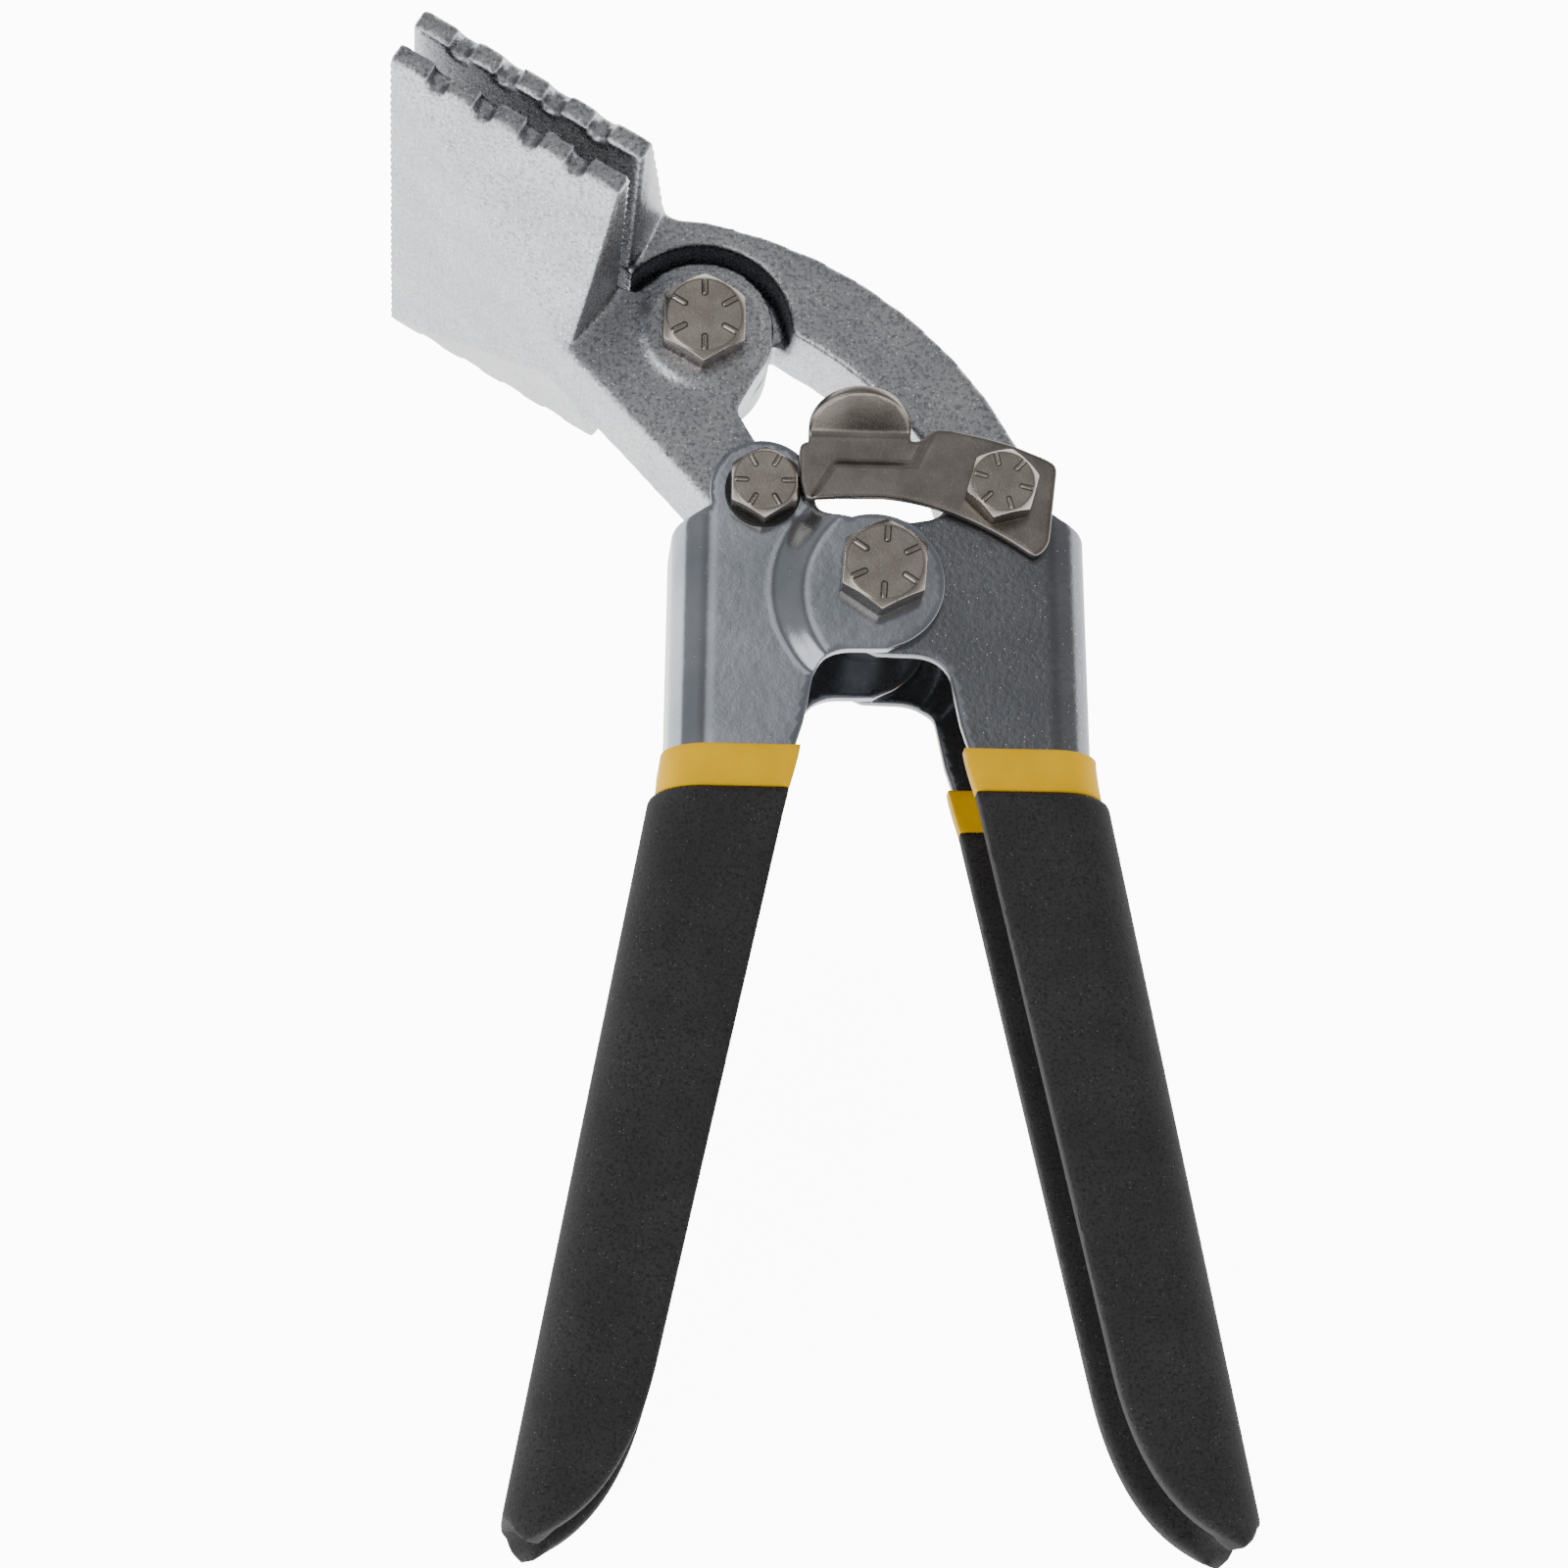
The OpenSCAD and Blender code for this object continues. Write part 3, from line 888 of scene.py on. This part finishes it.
@dataclass
class HexBolt:
    """A hex-head bolt with six short raised dashes on its head."""

    name: str
    pin: np.ndarray
    body: str
    across: float
    shank: float
    seat: float
    head: float
    tail: float
    turn: float
    dash_turn: float
    around: int = 300
    dash_height: float = 0.2
    chamfer_drop: float = 0.95

    def hexagon(self, theta: np.ndarray) -> np.ndarray:
        """Radius of a hexagon with slightly rounded corners.

        A high power mean of the six flats' distances rounds each corner.

        Args:
            theta: angles, in radians.

        Returns:
            Radii.
        """
        k = np.arange(6)[:, None] * math.pi / 3 + math.radians(self.turn + 30)
        facing = np.maximum(np.cos(theta[None] - k), 0)
        return self.across / 2 / (facing**60).sum(0) ** (1 / 60)

    def dashes(self, r: float, theta: np.ndarray) -> tuple:
        """The six raised dashes, each a short round-ended bar.

        Args:
            r: distance from the head's centre.
            theta: angles, in radians.

        Returns:
            (heights above the head's face, how much painted shade lies at each bar's foot).
        """
        k = math.radians(self.dash_turn) + np.arange(6)[:, None] * math.pi / 3
        along, across = r * np.cos(theta - k), r * np.sin(theta - k)
        middle, half, wide = self.across * 0.36, self.across * 0.075, self.across * 0.036
        past = np.maximum(np.abs(along - middle) - half, 0)
        away = np.where(along > 0, np.hypot(past, across), 9.0).min(0)
        # Painted shade: a dark band round the foot of each bar, where shade falls in the crease.
        foot = smooth(1.0 - np.abs(away - wide * 0.95) / (wide * 0.45))
        return self.dash_height * smooth((wide - away) / wide), foot

    def build(self, tool: ToolFrame) -> bpy.types.Object:
        """One closed surface from the head's centre down to the shank's end.

        Args:
            tool: the tool's frame.

        Returns:
            The object.
        """
        theta = np.linspace(0, 2 * math.pi, self.around, endpoint=False)
        hexagon = self.hexagon(theta)
        top = self.seat + self.head
        flat = self.across / 2 * 0.93
        rows, grime = [], []
        for r in np.concatenate([[0.15, 0.3, 0.45], np.linspace(0.5, 0.92, 34), [0.96]]) * flat:
            ridge, foot = self.dashes(r, theta)
            grime.append(foot)
            rows.append((np.full_like(theta, r), top + ridge))
        corner = self.across / 2 / math.cos(math.radians(30))
        for t in np.linspace(0, 1, 12):
            cone = flat + (corner + 0.05 - flat) * t
            drop = self.chamfer_drop * t ** 1.15
            rows.append((np.minimum(cone, hexagon), np.full_like(theta, top - drop)))
        for z in (top - 1.2, self.seat + 0.25):
            rows.append((hexagon, np.full_like(theta, z)))
        rows.append((hexagon - 0.12, np.full_like(theta, self.seat + 0.06)))
        rows.append((hexagon - 0.3, np.full_like(theta, self.seat)))
        for r, z in ((self.shank / 2 + 0.2, self.seat), (self.shank / 2, self.seat - 0.2),
                     (self.shank / 2, self.tail + 0.5), (self.shank / 2 - 0.15, self.tail + 0.2),
                     (self.shank / 2 - 0.5, self.tail)):
            rows.append((np.full_like(theta, r), np.full_like(theta, z)))
        radii = np.array([r for r, _ in rows])
        heights = np.array([z for _, z in rows])
        rings = np.stack([self.pin[0] + radii * np.cos(theta), self.pin[1] + radii * np.sin(theta),
                          heights], -1).reshape(-1, 3)
        points = np.concatenate([[[*self.pin, top]], rings, [[*self.pin, self.tail]]])
        obj = make_piece(self.name + "_hex", points, polar_faces(len(rows), self.around), tool)
        obj.data.set_sharp_from_angle(angle=math.radians(38))
        # The painted shade round the dashes' feet is stored on the mesh as a point attribute.
        held = np.zeros(len(points))
        held[1 : 1 + len(grime) * self.around] = np.concatenate(grime)
        obj.data.attributes.new("grime", "FLOAT", "POINT").data.foreach_set("value", held)
        return obj

    def dress(self, obj: bpy.types.Object, paints: Paints) -> None:
        """Finish the bolt and let it ride on its body.

        Args:
            obj: the object.
            paints: the materials.
        """
        paints.wear(obj, NICKEL)
        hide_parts(self.name)
        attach(obj, self.body)


def dress_plain(frame: dict, paints: Paints, node: str, finish: Finish, rim: float) -> None:
    """Finish a small turned or pressed CAD piece and soften its rims.

    Args:
        paints: the materials.
        node: the CAD node.
        finish: its finish.
        rim: the rounding, in millimetres.
    """
    obj = frame["nodes"][node]
    add_modifier(obj, "WELD", "close", merge_threshold=WELD_GAP * MM)
    if rim:
        soften_rims(obj, rim, angle=35.0, steps=2)
    paints.wear(obj, finish)


# ---- latch -----------------------------------------------------------------


@dataclass
class Latch:
    """The pressed latch plate with its bent thumb tab."""

    low: float = 10.5
    thick: float = 1.45
    rim: float = 0.28
    tab_centre: float = -2.7
    tab_half: float = 6.25
    tab_foot: float = 17.0
    tab_bend: float = 58.0
    bend_radius: float = 1.3
    pressed: float = 0.45
    grid: float = 0.36

    def outline(self) -> np.ndarray:
        """Outer edge of the flat blank, tab included.

        Returns:
            Side-view points, clockwise from the left end.
        """
        foot = self.tab_foot
        left, right = self.tab_centre - self.tab_half, self.tab_centre + self.tab_half
        angle = np.radians(np.linspace(176, 4, 26))
        tab = np.column_stack([
            self.tab_centre + self.tab_half * np.cos(angle),
            foot + 0.9 + self.tab_half * np.sin(angle),
        ])
        return np.concatenate([
            bow((-9.85, 10.8), (-10.0, 11.2), (-10.05, 12.0), 4),
            [[-10.1, 14.4]],
            bow((-10.05, 15.6), (-9.95, 16.6), (left, foot - 0.3), 5),
            [[left + 0.02, foot + 0.5]],
            tab,
            [[right - 0.02, foot + 0.4]],
            bow((right + 0.1, foot + 0.1), (right + 0.8, foot - 0.1), (5.0, 17.35), 4),
            bow((5.3, 17.5), (5.9, 18.4), (6.9, 18.45), 5),
            [[8.5, 18.4], [12.5, 17.6], [16.1, 16.6], [19.6, 15.2]],
            bow((20.4, 14.8), (21.5, 14.3), (21.35, 13.2), 5),
            [[20.5, 5.9]],
            bow((20.3, 4.4), (19.6, 2.7), (18.5, 2.5), 6),
            bow((17.9, 2.8), (9.0, 9.0), (0.0, 9.6), 18),
            [[-5.4, 9.5], [-8.0, 9.3]],
            bow((-8.5, 9.3), (-9.4, 9.4), (-9.7, 10.1), 5),
        ])

    def build(self, tool: ToolFrame) -> bpy.types.Object:
        """Press the plate and bend its tab.

        Args:
            tool: the tool's frame.

        Returns:
            The object.
        """
        hole = arc(RIGHT_PIN, 2.56, 0, 350, 36)
        flat, faces, sink = flat_blank(self.outline(), [hole], self.grid, self.rim)
        x, y = flat.T
        top = self.low + self.thick
        # The free end is pressed down along its left edge and along the tab's foot.
        diagonal = smooth((x + 8.9 - 0.62 * (y - 9.4)) / 0.8)
        panel = diagonal * smooth((14.3 - y) / 0.8)
        panel = np.maximum(panel, smooth((x - 3.2 - 0.5 * np.maximum(y - 14.0, 0)) / 1.6))
        z = top - self.pressed * (1 - panel)
        past = np.clip(y - self.tab_foot, 0, None) * (np.abs(x - self.tab_centre) < self.tab_half + 0.3)
        limit = math.radians(self.tab_bend)
        turn = np.minimum(past / self.bend_radius, limit)
        rest = np.maximum(past - self.bend_radius * limit, 0)
        y_bent = np.where(past > 0, self.tab_foot + self.bend_radius * np.sin(turn)
                          + rest * math.cos(limit), y)
        z_bent = z + self.bend_radius * (1 - np.cos(turn)) + rest * math.sin(limit)
        normal = np.column_stack([np.zeros_like(x), -np.sin(turn), np.cos(turn)])
        face = np.column_stack([x, y_bent, z_bent])
        outer = face - normal * sink[:, None]
        inner = face - normal * (self.thick * 0.93 - sink)[:, None]
        return thick_piece("latch_plate", outer, inner, faces, tool)

    def dress(self, obj: bpy.types.Object, paints: Paints) -> None:
        """Finish the latch and let it ride on its body.

        Args:
            obj: the object.
            paints: the materials.
        """
        paints.wear(obj, LATCH_NICKEL)
        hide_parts("latch")
        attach(obj, "latch")


# ---- studio ----------------------------------------------------------------


@dataclass
class Studio:
    """A light tent, darker overhead, over a pale floor that only the camera sees."""

    eye_mm: tuple = (-54.2, -191.3, 579.1)
    aim_mm: tuple = (-11.1, -23.5, 0.0)
    lens: float = 114.1
    sensor: float = 36.0
    floor: str = "#ffffff"
    floor_half: float = 3.0
    floor_glow: float = 11.0
    tent_glow: float = 2.6
    soft_box: tuple = (-0.62, -0.55, 0.56)
    # Each lamp: its name, its place and side in metres, and its power in watts.
    lamps: tuple = (
        ("left_box", (-0.75, -0.15, 0.45), 0.8, 3.2),
        ("right_box", (0.75, 0.05, 0.5), 0.8, 2.5),
        ("far_box", (-0.1, 0.8, 0.45), 0.8, 2.5),
        ("near_box", (0.0, -0.9, 0.45), 0.7, 2.2),
    )

    def camera(self, tool: ToolFrame) -> None:
        """Place the camera over the tool.

        Args:
            tool: the tool's frame.
        """
        eye, aim = (Vector(tool.rows(np.array([p]))[0]) for p in (self.eye_mm, self.aim_mm))
        back = (eye - aim).normalized()
        right = tool.along_y.cross(back).normalized()
        up = back.cross(right)
        data = bpy.data.cameras.new("camera")
        data.lens, data.sensor_width = self.lens, self.sensor
        data.clip_start, data.clip_end = 0.01, 10.0
        made = bpy.data.objects.new("camera", data)
        made.matrix_world = Matrix.Translation(eye) @ Matrix([right, up, back]).transposed().to_4x4()
        bpy.context.scene.collection.objects.link(made)
        bpy.context.scene.camera = made

    def lamp(self, name: str, place: tuple, size: float, watts: float) -> None:
        """One square soft white light, aimed at the middle of the tool.

        It lights the matt pieces; the plated ones mirror only the tent.

        Args:
            name: its name.
            place: where it stands, in metres.
            size: its side, in metres.
            watts: its power.
        """
        data = bpy.data.lights.new(name, "AREA")
        data.shape, data.size, data.energy = "SQUARE", size, watts
        made = bpy.data.objects.new(name, data)
        made.location = Vector(place)
        made.visible_glossy = False
        made.rotation_euler = (Vector((0, 0, 0.03)) - made.location).to_track_quat("-Z", "Y").to_euler()
        bpy.context.scene.collection.objects.link(made)

    def ground(self) -> None:
        """Lay the pale floor, which only the camera sees."""
        half = self.floor_half
        mesh = bpy.data.meshes.new("floor")
        corners = [(-half, -half, 0), (half, -half, 0), (half, half, 0), (-half, half, 0)]
        mesh.from_pydata(corners, [], [(0, 1, 2, 3)])
        floor = bpy.data.objects.new("floor", mesh)
        bpy.context.scene.collection.objects.link(floor)
        white = bpy.data.materials.new("pale_floor")
        white.use_nodes = True
        shader = white.node_tree.nodes["Principled BSDF"]
        shader.inputs["Base Color"].default_value = linear(self.floor)
        shader.inputs["Roughness"].default_value = 0.9
        shader.inputs["Emission Color"].default_value = (1, 1, 1, 1)
        shader.inputs["Emission Strength"].default_value = self.floor_glow
        mesh.materials.append(white)
        # The pieces see the tent all round, below as well as above.
        floor.visible_glossy = floor.visible_diffuse = False

    def tent(self) -> None:
        """Wrap the tool in a soft tent of light."""
        world = bpy.data.worlds.new("tent")
        bpy.context.scene.world = world
        world.use_nodes = True
        tree = world.node_tree
        sky = tree.nodes["Background"]
        way = add_node(tree, "TexCoord").outputs["Generated"]
        split = add_node(tree, "SeparateXYZ", {0: way})
        # White low down, one even grey above it, and a darker ring round the top.
        side = ramp(tree, split.outputs[2], [(0.0, 1.0), (0.08, 0.9), (0.22, 0.165), (0.80, 0.165),
                                             (0.94, 0.10)]).outputs[0]
        # The top is lit on the left and dark on the right.
        across = add_node(tree, "MapRange", {"Value": split.outputs[0]}, From_Min=-0.3,
                          From_Max=0.3).outputs[0]
        roof = ramp(tree, across, [(0.0, 0.28), (0.54, 0.50), (0.61, 0.20), (0.68, 0.11),
                                   (1.0, 0.14)]).outputs[0]
        near_top = add_node(tree, "MapRange", {"Value": split.outputs[2]}, From_Min=0.955,
                            From_Max=0.985).outputs[0]
        shade = add_node(tree, "MixRGB", {0: near_top, 1: side, 2: roof}).outputs[0]
        # One soft box low on the near left, for the crescent on the raised lug.
        box_way = add_node(tree, "VectorMath", {0: way}, operation="DOT_PRODUCT")
        box_way.inputs[1].default_value = Vector(self.soft_box).normalized()
        box = add_node(tree, "MapRange", {"Value": box_way.outputs["Value"]}, From_Min=0.91,
                       From_Max=0.96).outputs[0]
        shade = add_node(tree, "MixRGB", {0: box, 1: shade}, Color2=(1.0, 1.0, 1.0, 1)).outputs[0]
        tree.links.new(shade, sky.inputs["Color"])
        sky.inputs["Strength"].default_value = self.tent_glow

    def build(self, tool: ToolFrame) -> None:
        """Floor, lamps, tent and camera.

        Args:
            tool: the tool's frame.
        """
        self.ground()
        for name, place, size, watts in self.lamps:
            self.lamp(name, place, size, watts)
        self.tent()
        self.camera(tool)


# ---- the whole tool --------------------------------------------------------


def bolts() -> list:
    """The four bolts.

    Returns:
        HexBolt objects.
    """
    return [
        HexBolt("jaw_pivot_bolt", JAW_PIN, "front_jaw", **M6, seat=8.03, tail=-13.6, turn=90,
                dash_turn=90),
        HexBolt("handle_pivot_bolt", np.zeros(2), "left_handle", **M6, seat=11.83, tail=-17.4,
                turn=86, dash_turn=86),
        HexBolt("left_link_bolt", LEFT_PIN, "front_jaw", **M5, seat=10.42, tail=-15.2, turn=90,
                dash_turn=60),
        HexBolt("right_link_bolt", RIGHT_PIN, "rear_jaw", **M5, seat=12.1, tail=-15.2, turn=75,
                dash_turn=45),
    ]


def main() -> None:
    """Build every piece, then the studio."""
    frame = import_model()
    tool, paints = ToolFrame(frame), Paints()
    for jaw in (CastJaw("front_jaw"), CastJaw("rear_jaw")):
        jaw.dress(frame, paints)
        print("built", jaw.node)
    folded = [FoldedHandle(Side.LEFT, LEFT_PLATE), FoldedHandle(Side.RIGHT, RIGHT_PLATE)]
    for side in Side:
        folded.append(Sleeve(side, "collar", YELLOW, "collar_plastic", outside=0.7, inside=0.6,
                             rim=0.25, grid=0.7))
        folded.append(Sleeve(side, "grip", GRIP, "grip_rubber", outside=1.4, inside=1.0,
                             rim=0.9, grid=1.0))
    for piece in [*folded, Latch(), *bolts()]:
        obj = piece.build(tool)
        piece.dress(obj, paints)
        print("built", obj.name, len(obj.data.polygons))
    for pivot in ("jaw_pivot", "handle_pivot", "left_link", "right_link"):
        dress_plain(frame, paints, pivot + "_nut", NICKEL, 0.2)
        dress_plain(frame, paints, pivot + "_insert", NATURAL, 0.1)
    for node in ("handle_pivot_sleeve", "left_link_shims", "right_link_shims"):
        dress_plain(frame, paints, node, TURNED, 0.08)
    # The washer in the left link hole is painted near-black as shade.
    dress_plain(frame, paints, "left_link_washer", HOLE_SHADE, 0.1)
    Studio().build(tool)


if __name__ == "__main__":
    main()
